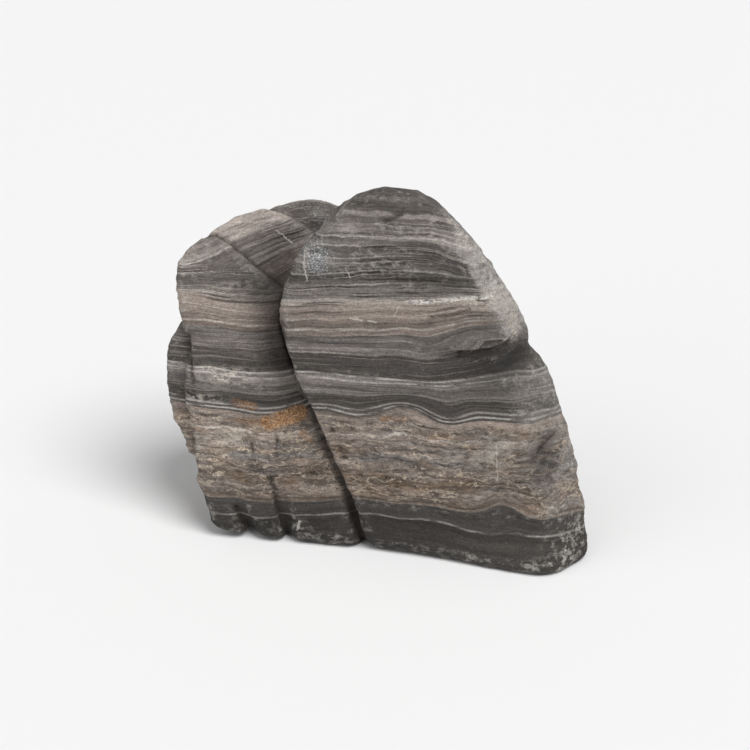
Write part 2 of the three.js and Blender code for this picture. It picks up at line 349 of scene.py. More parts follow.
def surface_slope(points, reach=1.2):
    """The form's slope, and how fast the form rises away on all sides."""
    x, y, z = points.T
    middle = stone_form(x, y, z)
    slope = []
    around = -6 * middle
    for axis in range(3):
        step = np.zeros(3)
        step[axis] = reach
        ahead = stone_form(x + step[0], y + step[1], z + step[2])
        behind = stone_form(x - step[0], y - step[1], z - step[2])
        slope.append((ahead - behind) / (2 * reach))
        around += ahead + behind
    return middle, np.stack(slope, 1), around / reach ** 2


def stone_surface():
    """Points on the stone's surface, their normals, curvature and faces."""
    values = sampled_form()
    cells, corners = cell_corners(values)
    index_of = np.full(values.shape, -1)
    index_of[cells] = np.arange(len(cells[0]))
    points = LOW + (np.stack(cells, 1) + cell_middles(corners)) * CELL
    faces = cell_faces(values, index_of)
    middle, slope, _ = surface_slope(points)
    points = points - slope * (middle / np.maximum((slope ** 2).sum(1), 0.2))[:, None]
    _, slope, bend = surface_slope(points)
    normals = slope / np.linalg.norm(slope, axis=1)[:, None]
    return points, normals, bend, faces


# Beds: how the layers lie in the stone

# Heights along the cleft between the left blocks and the right lobe, and its X at each
CLEFT_Z = [0, 26, 49, 71, 94, 113, 132, 152, 167, 182]
CLEFT_X = [-7, -12, -21, -30, -40, -45, -44, -39, -28, -11]
BED_DIP = 0.2                  # mm that a bed falls per mm toward the back
# Heights on the right side, and what is added to the bed height at each
SAG_Z = [20, 80, 98, 116, 123, 142, 160]
SAG_LIFT = [5, 2, -1, -6, -12, -5, 10]


def cleft_x(z):
    return np.interp(z, CLEFT_Z, CLEFT_X)


def hump(value, middle, width):
    """1 at the middle, falling off softly to both sides."""
    return np.exp(-((value - middle) / width) ** 2)


def on_front(y):
    """1 on the side that the photograph shows, 0 on the back."""
    return fade(60, 52, y)


def block_masks(x, y, z):
    """Which points are left of the cleft, and which are on the blocks behind."""
    front = np.minimum(left_block(x, y, z), side_slab(x, y, z))
    behind = np.minimum(middle_block(x, y, z), back_block(x, y, z))
    left_side = np.minimum(front, behind) < right_lobe(x, y, z)
    return left_side.astype(float), (behind < front).astype(float)


def creases(x, y, z):
    """Where one block of the left side meets the next one, which is darkened there as painted shadow of the
    step.
    """
    front = np.minimum(left_block(x, y, z), side_slab(x, y, z))
    middle, back = middle_block(x, y, z), back_block(x, y, z)
    first = hump(front - np.minimum(middle, back), 0, 0.9) * fade(100, 125, z)
    second = hump(middle - back, 0, 0.9) * (np.minimum(middle, back) < front)
    left_side = np.minimum(front, np.minimum(middle, back)) < right_lobe(x, y, z)
    return np.maximum(first, second) * left_side * on_front(y)


def bed_height(x, y, z):
    """Height in the pile of beds, which dip toward the back and are gently folded."""
    left_side, behind = block_masks(x, y, z)
    right_side = 1 - left_side
    sag = fade(20, 60, x) * np.interp(z, SAG_Z, SAG_LIFT)
    sag -= 8 * hump(x, 62, 12) * hump(z, 37, 12) * right_side
    bowl = 3.5 * hump(x, 30, 28) * hump(z, 98, 12) * right_side
    waves = np.cos(math.pi * (x - 13) / 24) * hump(x, 22, 32) * hump(z, 79, 9)
    crest = -4.5 * waves * right_side
    trough = 4.5 * hump(x, -58, 26) * fade(138, 118, z) * left_side
    steep = behind * 0.36 + (1 - behind) * 0.3 * fade(134, 156, z)
    climb = -steep * np.maximum(x + 95, 0) * left_side * fade(64, 52, y) * fade(90, 115, z)
    return z + BED_DIP * y + sag + bowl + crest + trough + climb


# Relief: what stands out of the smooth form or is worn into it

def noise_at(points, seed):
    return np.array([noise.noise(Vector(p) + Vector((seed, 2.3 * seed, 0.7))) for p in points])


def bed_noise(place, bed, thickness, run, seed):
    """Noise in layers of the given thickness that run on for the given length."""
    layered = np.stack([place[:, 0] / run, place[:, 1] / run, bed / thickness], 1)
    return noise_at(layered, seed)


# Layered relief: size in mm, thickness and length of a layer, and a seed
SHEETS = [(0.55, 6.0, 60, 1.0), (0.40, 2.6, 40, 5.0), (0.26, 1.5, 22, 9.0)]
# Uneven relief: size, what the rough beds add to it, spots in mm along X, Y and Z, and a seed
KNOBS = [(0.9, 0, (26, 26, 26), 13.0), (0.25, 0.45, (7, 7, 4), 17.0),
         (0.12, 0.30, (3.2, 3.2, 2.0), 21.0)]
# Heights along the cleft, and how deep it is worn in at each
WEAR_Z = [0, 40, 70, 112, 128]
WEAR_DEPTH = [0.6, 2.2, 3.2, 3.0, 0]
# Pits on the front, as x, z, radius and depth; the first ones are dark inside
DARK_PITS = [(-21.6, 66.5, 1.6, 2.2), (-17.7, 55.6, 1.6, 1.8), (-15.6, 52, 1.3, 1.6)]
PITS = DARK_PITS + [(85, 60, 3.2, 1.6), (79, 65, 2.2, 1.0)]
# Cracks, as two (x, z) ends, half width and depth; the three along the lip, from x 41 to 68, are painted
# shadow lines under it
CRACKS_AND_SHADOW_LINES = [((-64, 57), (-62, 45), 0.8, 0.9), ((-50, 60), (-50, 48), 0.8, 0.7),
          ((-55.4, 35.3), (-50.8, 29.7), 1.0, 1.8), ((4.8, 176.8), (13, 179.2), 0.9, 1.3),
          ((26.7, 130.5), (38.7, 133.7), 0.6, 0.8), ((38.7, 133.7), (45.7, 137), 0.6, 0.8),
          ((-72, 18), (-62, -2), 1.4, 2.0), ((-54, 36), (-44, -2), 1.3, 2.2),
          ((-19, 44), (-12, 26), 1.2, 1.4), ((-12, 26), (-4.5, -2), 1.2, 2.4),
          ((-95, 108), (-93, 84), 1.2, 2.0), ((41, 112.5), (51, 115.7), 0.9, 1.2),
          ((51, 115.7), (62, 119.5), 0.9, 1.0), ((62, 119.5), (68, 123.5), 0.8, 0.8),
          ((72, 57), (81, 58), 0.5, 0.5), ((81, 58), (90, 67), 0.6, 0.7)]


def line_distance(x, z, start, end):
    """Distance from a straight line between two (x, z) points."""
    run_x, run_z = end[0] - start[0], end[1] - start[1]
    along = ((x - start[0]) * run_x + (z - start[1]) * run_z) / (run_x ** 2 + run_z ** 2)
    along = np.clip(along, 0, 1)
    return np.hypot(x - start[0] - along * run_x, z - start[1] - along * run_z)


def cleft_depth(x, y, z):
    """How deep the cleft is worn in between the left blocks and the right lobe."""
    depth = np.interp(z, WEAR_Z, WEAR_DEPTH)
    return depth * hump(x, cleft_x(z) - 1, 1.7) * fade(40, 25, y)


def crack_and_shadow_lines(place):
    """How dark each point is in cracks and dark pits and in painted shadow lines at the creases and under
    the lip, and how deep it is worn in there.
    """
    x, y, z = place.T
    dark = np.zeros(len(x))
    depth = np.zeros(len(x))
    for start, end, width, deep in CRACKS_AND_SHADOW_LINES:
        share = hump(line_distance(x, z, start, end), 0, width) * fade(36, 28, y)
        dark = np.maximum(dark, share)
        depth = np.maximum(depth, deep * share)
    for pit_x, pit_z, radius, _ in DARK_PITS:
        dark = np.maximum(dark, hump(np.hypot(x - pit_x, z - pit_z), 0, radius) * on_front(y))
    between = creases(x, y, z)
    return np.maximum(dark, between), np.maximum(depth, 1.1 * between)


def relief(place, bed):
    """How far each point stands out of the smooth form, in mm."""
    x, y, z = place.T
    rough = fade(26, 34, bed) * fade(76, 70, bed)
    worn = np.zeros(len(x))
    for size, thickness, run, seed in SHEETS:
        worn += size * bed_noise(place, bed, thickness, run, seed)
    for size, more, spots, seed in KNOBS:
        worn += (size + more * rough) * noise_at(place / np.array(spots), seed)
    pores = noise_at(place / np.array([4.5, 4.5, 3.2]), 25.0)
    worn -= (0.4 + 0.8 * rough) * fade(0.38, 0.62, pores)
    for pit_x, pit_z, radius, depth in PITS:
        away = ((x - pit_x) ** 2 + (z - pit_z) ** 2) / radius ** 2
        worn -= depth * np.exp(-away) * on_front(y)
    return worn - crack_and_shadow_lines(place)[1] - cleft_depth(x, y, z)


# Stains and scuffs, as masks over the surface

# Orange and tan stains, as two (x, z) ends, radius and strength
STAINS = [((-54, 65.5), (-38, 70.5), 4.2, 1.0), ((-37, 60.5), (-33, 57.5), 2.4, 0.5),
          ((-71, 75.5), (-62, 74), 2.8, 0.5), ((-69, 66), (-60, 65), 2.2, 0.4),
          ((4, 75.5), (15, 75.8), 1.5, 0.5), ((-24, 66), (-15, 48), 1.2, 0.3)]
# Pale worn patches, as x, z, half lengths along both and strength
PALE_PATCHES = [(-76, 89.5, 15, 3.6, 1.0), (50, 141.5, 9, 2.4, 1.2), (36, 139, 7, 1.2, 1.0),
                (66, 134, 2.5, 6, 1.3), (68, 125, 2, 5, 1.5), (60, 141, 5, 1.5, 1.2),
                (-86, 77, 10, 2.0, 0.9), (-70, 133, 14, 2.5, 0.6),
                (-76, 56, 14, 6, 0.5), (44, 58, 14, 4, 0.5), (60, 62, 10, 8, 0.6)]
# Whitish scuffs where the stone was knocked
SCUFFS = [(99, 16, 9, 13, 1.0), (88, 5, 10, 4, 0.6), (90, 48, 8, 12, 0.6), (-38, 8, 6, 6, 0.6),
          (-22, 5, 5, 4, 0.8), (-88, 146, 8, 8, 0.5), (60, 50, 3, 14, 0.4),
          (8, 155, 30, 12, 0.75), (64, 143, 5, 10, 0.4), (77, 88, 5, 10, 0.4)]
# Painted light and shade on the front, with uneven tone: parts paler or darker than their beds, the same
# way;
# shade in hollows, grooves, by the cleft and under the lip, light on upper faces and edges
SHADES = [(0, 166, 28, 7, 0.24), (-16, 158, 20, 6, 0.18), (28, 160, 12, 6, -0.18),
          (-16, 147, 24, 5, -0.14), (40, 150, 12, 6, -0.2), (85, 56, 10, 15, -0.65),
          (56, 58, 18, 14, -0.2), (66, 10, 30, 10, 0.5), (-53, 12, 9, 8, -0.35),
          (-33, 14, 8, 8, -0.25), (-31, 33, 8, 9, -0.2), (60, 132, 10, 9, -0.3),
          (62, 104, 14, 9, -0.3), (54, 91, 17, 7, -0.15), (14, 80, 10, 3, -0.12),
          (38, 80, 9, 3, 0.2), (35, 172, 10, 9, 0.3), (-13, 176, 8, 8, 0.22),
          (2, 63, 14, 9, 0.15)]
LEFT_SHADES = [(-82, 90, 20, 26, 0.26), (-98, 142, 9, 16, 0.3), (-48, 146, 17, 15, -0.25),
               (-60, 131, 15, 12, -0.4), (-49, 118, 8, 16, -0.25), (-84, 50, 14, 16, 0.2),
               (-75, 115, 20, 8, 0.25), (-63, 52, 13, 10, 0.22)]
# Where bluish mineral speckles the upper left of the right lobe
BLUE_SPOT = (-28, 159, 6, 8)
# The painted shadow under the lip: places along X, and its upper edge's height at each
LIP_SHADOW_X = [36, 52, 68, 80]
LIP_SHADOW_Z = [110, 115, 123, 127]
UNMARKED_X = -41               # right of this the blocks behind carry no scratches


def blot(place, x, z, half_x, half_z):
    """A soft spot on the front."""
    return hump(place[:, 0], x, half_x) * hump(place[:, 2], z, half_z) * on_front(place[:, 1])


def blots(place, spots):
    """All spots of a list together, each with its strength."""
    return sum(strength * blot(place, *spot) for *spot, strength in spots)


def bleached_top(x, y, z, bed):
    """How far the tops of the left blocks are bleached, most of all the middle one."""
    left_side, behind = block_masks(x, y, z)
    rearmost = back_block(x, y, z) < middle_block(x, y, z)
    bleached = left_side * np.where(behind > 0, np.where(rearmost, 0.3, 1.0), 0.4)
    bleached *= (0.3 * fade(143, 146, bed) + 0.7 * fade(149, 151.5, bed)) * fade(66, 48, y)
    return bleached


# Mask of the painted shadow under the cap's lip
def lip_shadow_mask(x, y, z):
    lip = np.interp(x, LIP_SHADOW_X, LIP_SHADOW_Z)
    return fade(1.5, -0.5, z - lip) * hump(z, 108, 15) * hump(x, 66, 17) * fade(40, 10, y)


def right_flank(x, y, z, facing_right):
    """The paler side of the right lobe, partly dust and partly painted light, apart from the painted shadow
    under its lip.
    """
    flank_dust_and_light = fade(0.2, 0.5, facing_right) * fade(20, 60, x) * fade(20, 50, z)
    flank_dust_and_light *= 0.35 + 0.65 * fade(45, 10, y)
    flank_dust_and_light *= 0.3 + 0.7 * fade(118, 132, z)
    return flank_dust_and_light * (1 - lip_shadow_mask(x, y, z))


def surface_masks(place, normals, bend, bed):
    """What the material reads at each point, by name."""
    x, y, z = place.T
    front = on_front(y)
    ochre = sum(strength * fade(1.3 * radius, 0.6 * radius, line_distance(x, z, start, end))
                for start, end, radius, strength in STAINS)
    sharp_edges = fade(0.02, 0.12, bend)
    left_side, behind = block_masks(x, y, z)
    beside = x - cleft_x(z)
    # Dirt and painted shade along the cleft itself
    cleft_dirt_and_shade = hump(beside, -1.2, 2.2) * fade(132, 118, z) * fade(40, 25, y)
    # Painted shadow of the right lobe on the left block beside the cleft
    shade = hump(beside, -4, 11) * left_side * fade(88, 106, z) * fade(155, 140, z) * front
    # Painted light and shade, with uneven tone, from the spot lists
    tone_and_shade = 1 + fade(45, 20, y) * blots(place, SHADES) + left_side * blots(place, LEFT_SHADES)
    crumbs = hump(bed, 135.3, 1.3) * fade(8, 24, x) * fade(60, 54, x)
    return {
        "ochre": ochre * front,
        "pale": blots(place, PALE_PATCHES),
        "crumbs": crumbs * front,
        "scuff": blots(place, SCUFFS) + 0.5 * sharp_edges,
        "blue": blot(place, *BLUE_SPOT),
        "cleft_dirt_and_shade": cleft_dirt_and_shade + 0.7 * shade,
        "bleached": bleached_top(x, y, z, bed),
        "tone_and_shade": tone_and_shade,
        "dust": fade(0.3, 0.85, normals[:, 2]) * (0.3 + 0.7 * left_side),
        "flank_dust_and_light": right_flank(x, y, z, normals[:, 0]),
        "painted_lip_shadow": lip_shadow_mask(x, y, z) * front,
        "crack_and_shadow": crack_and_shadow_lines(place)[0],
        "marked": 1 - behind * (x > UNMARKED_X),
    }


def add_values(mesh, name, values):
    attribute = mesh.attributes.new(name, "FLOAT", "POINT")
    attribute.data.foreach_set("value", np.clip(values, 0, None).astype(np.float32))


def make_stone():
    """The stone's mesh, which stands where its solid stands."""
    place, normals, bend, faces = stone_surface()
    bed = bed_height(*place.T)
    points = place + normals * relief(place, bed)[:, None]
    points[:, 2] = np.maximum(points[:, 2], 0)
    low, high = (np.array(corner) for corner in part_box("stone"))
    middle = (place.min(0) + place.max(0)) / 2
    shift = (low + high) / 2 / MM - middle
    shift[2] = 0
    mesh = bpy.data.meshes.new("stone_surface")
    mesh.from_pydata(((points + shift) * MM).tolist(), [], faces.tolist())
    mesh.shade_smooth()
    add_values(mesh, "bed", bed)
    for name, values in surface_masks(place, normals, bend, bed).items():
        add_values(mesh, name, values)
    spot = mesh.attributes.new("place", "FLOAT_VECTOR", "POINT")
    spot.data.foreach_set("vector", place.astype(np.float32).ravel())
    piece = bpy.data.objects.new("stone_surface", mesh)
    bpy.context.collection.objects.link(piece)
    return piece


# Material

# Tones of the stone, as 0 to 255 screen colours
TONES = {
    "charcoal": (57, 54, 51), "soot": (70, 66, 63), "slate": (82, 77, 74),
    "grey": (100, 95, 91), "ash": (116, 110, 106), "umber": (106, 94, 84),
    "drab": (124, 113, 105), "beige": (142, 130, 121), "pale": (158, 149, 142),
    "cream": (190, 182, 172), "chalk": (210, 205, 198), "rust": (124, 86, 54),
    "sand": (178, 140, 102), "seam_and_shade": (46, 40, 35), "steel": (116, 124, 130),
    "tan": (178, 164, 146), "clay": (150, 122, 94), "lead": (108, 108, 110),
    "silt": (68, 58, 50), "thread": (172, 162, 149), "peat": (60, 51, 44),
    "bleach": (204, 192, 184), "flank_dust_and_light": (190, 184, 178), "dust": (158, 150, 143),
    "scuff": (172, 168, 162), "fleck": (172, 166, 158), "lamina": (172, 164, 156),
}
# Beds from the bottom up: the height where each starts, and its tone
BEDS = [
    (0, "charcoal"), (19, "soot"), (27, "umber"), (30, "drab"), (36, "umber"), (42, "drab"),
    (49, "ash"), (54, "drab"), (61, "beige"), (65, "drab"), (71, "beige"), (75, "slate"),
    (80, "soot"), (86, "grey"), (91, "ash"), (97, "soot"), (103, "slate"), (108, "ash"),
    (114, "grey"), (118, "drab"), (126, "beige"), (133, "pale"), (136, "ash"), (141, "grey"), (146, "slate"),
    (151, "grey"), (158, "slate"), (164, "grey"), (168, "ash"), (172, "grey"), (175, "slate"),
    (178, "ash"), (180, "soot"), (184, "slate"), (187, "soot"),
]
BUMP_STRENGTH = 0.9
BUMP_DEPTH = 1.0               # mm
# The beds' colours are held by three ramps, between these heights
RAMP_ENDS = (0.0, 75.0, 136.0, 205.0)
TOP_OF_BEDS = RAMP_ENDS[-1]
# How much there is of each kind of detail along the pile of beds: height and share
ROUGH_BEDS = [(0, 0), (27, 0), (32, 1), (70, 1), (76, 0)]
WAVE_SIZES = [(0, 0.12), (27, 0.12), (32, 1), (70, 1), (76, 0.12), (136, 0.15), (144, 0.45),
              (200, 0.45)]
CONTRASTS = [(0, 0.2), (19, 0.2), (28, 0.45), (74, 0.4), (76, 0.35), (88, 0.55), (97, 0.45),
             (99, 0.25), (107, 0.25), (109, 0.5), (117, 0.45), (120, 0.32), (134, 0.32),
             (137, 0.6), (182, 0.45)]
FINE_LINES = [(0, 0.03), (26, 0.0), (30, 0.3), (74, 0.3), (76, 0.25), (82, 0.1), (87, 0.4),
              (97, 0.4), (98, 0.08), (108, 0.5), (135, 0.5), (141, 0.6), (168, 0.5), (182, 0.2)]
FINE_SEAMS = [(0, 0.2), (19, 0.1), (28, 0.5), (74, 0.3), (80, 0.2), (87, 0.4), (98, 0.2),
              (108, 0.5), (126, 0.3), (136, 0.85), (165, 0.75), (182, 0.5)]
FOLD = 3.4                     # mm of bed between two turns of a thread in the rough beds
# Single pale lines: height, half thickness and strength
PALE_LINES = [
    (18.4, 0.2, 0.4), (27.5, 0.35, 0.5), (64.0, 0.3, 0.6), (68.5, 0.25, 0.5), (76.8, 0.28, 0.9),
    (79.4, 0.26, 0.8), (86.3, 0.22, 0.5), (90.0, 0.2, 0.35), (94.4, 0.35, 0.75), (96.9, 0.25, 0.6),
    (101.5, 0.2, 0.35), (104.6, 0.2, 0.25), (108.4, 0.28, 0.6), (112.6, 0.2, 0.4),
    (120.8, 0.3, 0.75), (128.5, 0.28, 0.65), (131.2, 0.22, 0.4), (135.0, 0.4, 0.8),
    (150.6, 0.28, 0.5), (169.0, 0.3, 0.4),
]
# Single dark seams between beds: height, half thickness and strength
DARK_SEAMS = [
    (29.0, 0.4, 0.5), (44.0, 0.4, 0.5), (71.5, 0.3, 0.4), (98.5, 0.3, 0.4), (107.2, 0.5, 0.7),
    (117.3, 0.4, 0.6), (124.0, 0.35, 0.7), (131.0, 0.35, 0.4), (138.2, 0.5, 0.8), (142.2, 0.4, 0.7),
    (145.6, 0.5, 0.8), (149.6, 0.4, 0.7), (154.5, 0.4, 0.6), (160.5, 0.4, 0.6), (171.0, 0.4, 0.4),
]
# White scratches and veins, as two (x, z) ends and half width
SCRATCHES = [
    ((-33.7, 162.5), (-34.2, 157), 0.45), ((-34.2, 157), (-32.9, 147.5), 0.5),
    ((-50.4, 153.6), (-42.3, 146.7), 0.4), ((11.7, 135.7), (9.7, 129.4), 0.3),
    ((-39.8, 9), (-38.7, 14), 0.9), ((60, 66), (61, 48), 0.3), ((-14, 153), (-12, 149), 0.4),
    ((2, 158), (5, 153), 0.35), ((-12, 128.5), (-6, 127.5), 0.6), ((-3, 127.2), (1, 126.8), 0.6),
]


def tone(name):
    """A named tone as the linear colour that a shader takes."""
    parts = [c / 255 for c in TONES[name]]
    linear = [c / 12.92 if c <= 0.04045 else ((c + 0.055) / 1.055) ** 2.4 for c in parts]
    return tuple(linear) + (1,)


def put(tree, socket, value):
    if isinstance(value, bpy.types.NodeSocket):
        tree.links.new(value, socket)
    else:
        socket.default_value = value


def calculate(tree, operation, *values):
    node = tree.nodes.new("ShaderNodeMath")
    node.operation = operation
    for socket, value in zip(node.inputs, values):
        put(tree, socket, value)
    return node.outputs[0]


def times(tree, first, second):
    return calculate(tree, "MULTIPLY", first, second)


def vectors(tree, operation, *values):
    """A vector calculation, with its vector and its number."""
    node = tree.nodes.new("ShaderNodeVectorMath")
    node.operation = operation
    for socket, value in zip(node.inputs, values):
        put(tree, socket, value)
    return node.outputs[0], node.outputs[1]


def attribute(tree, name, output="Fac"):
    node = tree.nodes.new("ShaderNodeAttribute")
    node.attribute_name = name
    return node.outputs[output]


def ramp(tree, value, stops):
    """A colour ramp from (position, colour) stops."""
    node = tree.nodes.new("ShaderNodeValToRGB")
    elements = node.color_ramp.elements
    elements.remove(elements[1])
    for number, (position, colour) in enumerate(stops):
        element = elements[0] if number == 0 else elements.new(position)
        element.position = position
        element.color = colour
    put(tree, node.inputs[0], value)
    return node.outputs[0]


def span(tree, value, low, high, to_low=0.0, to_high=1.0):
    """Maps a range onto another, held at both ends."""
    node = tree.nodes.new("ShaderNodeMapRange")
    for socket, number in zip(node.inputs, (value, low, high, to_low, to_high)):
        put(tree, socket, number)
    return node.outputs[0]


def zones(tree, bed, heights):
    """A number that changes with the bed height, from (height, number) pairs."""
    stops = [(height / TOP_OF_BEDS, (v, v, v, 1)) for height, v in heights]
    return ramp(tree, span(tree, bed, 0.0, TOP_OF_BEDS), stops)


def mixed(tree, share, first, second, blend="MIX"):
    node = tree.nodes.new("ShaderNodeMix")
    node.data_type = "RGBA"
    node.blend_type = blend
    put(tree, node.inputs["Factor"], share)
    put(tree, node.inputs[6], first)
    put(tree, node.inputs[7], second)
    return node.outputs[2]


def shaded(tree, colour, amount):
    """A colour made lighter or darker by a number."""
    join = tree.nodes.new("ShaderNodeCombineColor")
    for socket in join.inputs[:3]:
        put(tree, socket, amount)
    return mixed(tree, 1.0, colour, join.outputs[0], "MULTIPLY")


def cloud(tree, place, size, detail=3.0, roughness=0.5, distortion=0.0):
    """Noise with spots of the given size, in mm along X, Y and Z."""
    vector, _ = vectors(tree, "DIVIDE", place, size)
    return noise_node(tree, vector, detail, roughness, distortion)


def noise_node(tree, vector, detail, roughness, distortion):
    node = tree.nodes.new("ShaderNodeTexNoise")
    put(tree, node.inputs["Vector"], vector)
    put(tree, node.inputs["Scale"], 1.0)
    put(tree, node.inputs["Detail"], detail)
    put(tree, node.inputs["Roughness"], roughness)
    put(tree, node.inputs["Distortion"], distortion)
    return node.outputs[0]


def layers(tree, place, bed, run, thickness, shift, detail, roughness, distortion=0.0):
    """Noise in thin layers that run on along the beds."""
    split = tree.nodes.new("ShaderNodeSeparateXYZ")
    put(tree, split.inputs[0], place)
    join = tree.nodes.new("ShaderNodeCombineXYZ")
    put(tree, join.inputs[0], calculate(tree, "MULTIPLY_ADD", split.outputs[0], 1 / run, shift))
    put(tree, join.inputs[1], times(tree, split.outputs[1], 1 / run))
    put(tree, join.inputs[2], times(tree, bed, 1 / thickness))
    return noise_node(tree, join.outputs[0], detail, roughness, distortion)


def wavy_bed(tree, place):
    """The bed height, made uneven at two scales, most of all in the rough beds."""
    broad = cloud(tree, place, (32, 32, 20), 1.0)
    small = cloud(tree, place, (9, 9, 5), 3.0, 0.6)
    bed = calculate(tree, "ADD", attribute(tree, "bed"), span(tree, broad, 0.25, 0.75, -1.6, 1.6))
    size = times(tree, zones(tree, attribute(tree, "bed"), WAVE_SIZES), 2.0)
    return calculate(tree, "ADD", bed, times(tree, span(tree, small, 0.2, 0.8, -1.0, 1.0), size))


def bed_ramp(tree, bed, low, high):
    """The beds between two heights, with a short soft change from one to the next."""
    softness = 0.3
    stops = [(0.0, tone([name for height, name in BEDS if height <= low][-1]))]
    for height, name in BEDS:
        if low < height < high:
            stops.append(((height - low - softness) / (high - low), stops[-1][1]))
            stops.append(((height - low + softness) / (high - low), tone(name)))
    return ramp(tree, span(tree, bed, low, high), stops)


def bed_colour(tree, bed):
    """The ramps of the beds, one above the other."""
    colour = bed_ramp(tree, bed, *RAMP_ENDS[:2])
    for low, high in zip(RAMP_ENDS[1:], RAMP_ENDS[2:]):
        above = calculate(tree, "GREATER_THAN", bed, low)
        colour = mixed(tree, above, colour, bed_ramp(tree, bed, low, high))
    return colour


def single_lines(tree, place, bed, lines, gaps):
    """Lines at set heights, broken where a slow noise is low."""
    parts = []
    for some in (sorted(lines)[::2], sorted(lines)[1::2]):
        heights = [(0.0, 0.0)]
        for height, half, strength in some:
            heights += [(height - half, 0.0), (height, strength), (height + half, 0.0)]
        parts.append(zones(tree, bed, heights))
    breaks = cloud(tree, place, (14, 14, 3), 3.0, 0.6)
    both = calculate(tree, "MAXIMUM", *parts)
    return times(tree, both, span(tree, breaks, gaps - 0.06, gaps + 0.06, 0.1, 1.0))


def fine_lines(tree, place, bed):
    """Hair-thin pale laminae, strongest in the grey beds of the upper half."""
    lines = span(tree, layers(tree, place, bed, 60, 1.0, 7.0, 2.0, 0.5), 0.59, 0.66)
    return times(tree, lines, zones(tree, bed, FINE_LINES))


def fine_seams(tree, place, bed):
    """Hair-thin dark laminae."""
    lines = span(tree, layers(tree, place, bed, 45, 1.5, 11.0, 3.0, 0.55), 0.44, 0.38)
    return times(tree, lines, zones(tree, bed, FINE_SEAMS))


def churned(tree, place, bed, rough, colour):
    """The rough beds: brown seams, tan and grey tints, and worm-like pale threads."""
    streaks = layers(tree, place, bed, 11, 2.0, 3.0, 8.0, 0.75, 0.5)
    tints = cloud(tree, place, (22, 22, 7), 3.0, 0.6)
    tan = times(tree, span(tree, tints, 0.5, 0.62), times(tree, rough, 0.35))
    colour = mixed(tree, tan, colour, tone("clay"))
    cool = times(tree, span(tree, tints, 0.44, 0.34), times(tree, rough, 0.4))
    colour = mixed(tree, cool, colour, tone("lead"))
    dark = times(tree, span(tree, streaks, 0.47, 0.39), times(tree, rough, 0.75))
    colour = mixed(tree, dark, colour, tone("silt"))
    light = times(tree, span(tree, streaks, 0.55, 0.62), times(tree, rough, 0.55))
    colour = mixed(tree, light, colour, tone("thread"))
    warp = span(tree, cloud(tree, place, (8, 8, 4.5), 3.0, 0.6, 0.4), 0.2, 0.8, -7.0, 7.0)
    folded = calculate(tree, "PINGPONG", calculate(tree, "ADD", bed, warp), FOLD)
    where = cloud(tree, place, (17, 17, 6), 2.0)
    pale = times(tree, span(tree, folded, 0.85, 0.35), span(tree, where, 0.45, 0.52))
    colour = mixed(tree, times(tree, pale, times(tree, rough, 0.8)), colour, tone("tan"))
    dark = times(tree, span(tree, folded, 2.9, 3.3), span(tree, where, 0.38, 0.46))
    return mixed(tree, times(tree, dark, times(tree, rough, 0.7)), colour, tone("peat"))


def stroke(tree, place, start, end, half):
    """A straight mark on the front between two (x, z) points."""
    run = Vector((end[0] - start[0], 0, end[1] - start[1]))
    from_start, _ = vectors(tree, "SUBTRACT", place, (start[0], 0, start[1]))
    _, along = vectors(tree, "DOT_PRODUCT", from_start, tuple(run / run.length_squared))
    share = span(tree, along, 0.0, 1.0)
    nearest, _ = vectors(tree, "MULTIPLY", tuple(run), share)
    _, away = vectors(tree, "DISTANCE", from_start, nearest)
    return span(tree, away, half, 0.3 * half)


def strokes(tree, place, marks):
    """Several marks, with unsteady edges."""
    node = tree.nodes.new("ShaderNodeTexNoise")
    put(tree, node.inputs["Vector"], place)
    put(tree, node.inputs["Scale"], 0.6)
    sway, _ = vectors(tree, "SUBTRACT", node.outputs["Color"], (0.5, 0.5, 0.5))
    swayed, _ = vectors(tree, "ADD", place, vectors(tree, "MULTIPLY", sway, (2.4, 0, 2.4))[0])
    flat, _ = vectors(tree, "MULTIPLY", swayed, (1, 0, 1))
    total = 0.0
    for start, end, half in marks:
        total = calculate(tree, "MAXIMUM", total, stroke(tree, flat, start, end, half))
    split = tree.nodes.new("ShaderNodeSeparateXYZ")
    put(tree, split.inputs[0], place)
    return times(tree, total, span(tree, split.outputs[1], 60.0, 52.0))


def weathered(tree, place, streaks, colour):
    """The bleached top, the pale flank with its painted light, the painted shadow under the lip, and dust.
    """
    wash = cloud(tree, place, (18, 18, 4), 4.0, 0.6)
    bleached = times(tree, attribute(tree, "bleached"), span(tree, wash, 0.35, 0.6, 0.45, 0.9))
    colour = mixed(tree, bleached, colour, tone("bleach"))
    # The paler right flank: partly dust, partly painted light on the side facing right
    flank_dust_and_light = times(tree, attribute(tree, "flank_dust_and_light"), span(tree, streaks, 0.38, 0.62, 0.3, 0.95))
    colour = mixed(tree, flank_dust_and_light, colour, tone("flank_dust_and_light"))
    # Painted shadow under the lip, in charcoal
    colour = mixed(tree, times(tree, attribute(tree, "painted_lip_shadow"), 0.9), colour, tone("charcoal"))
    dust = times(tree, attribute(tree, "dust"), span(tree, wash, 0.35, 0.65, 0.1, 0.5))
    return mixed(tree, dust, colour, tone("dust"))


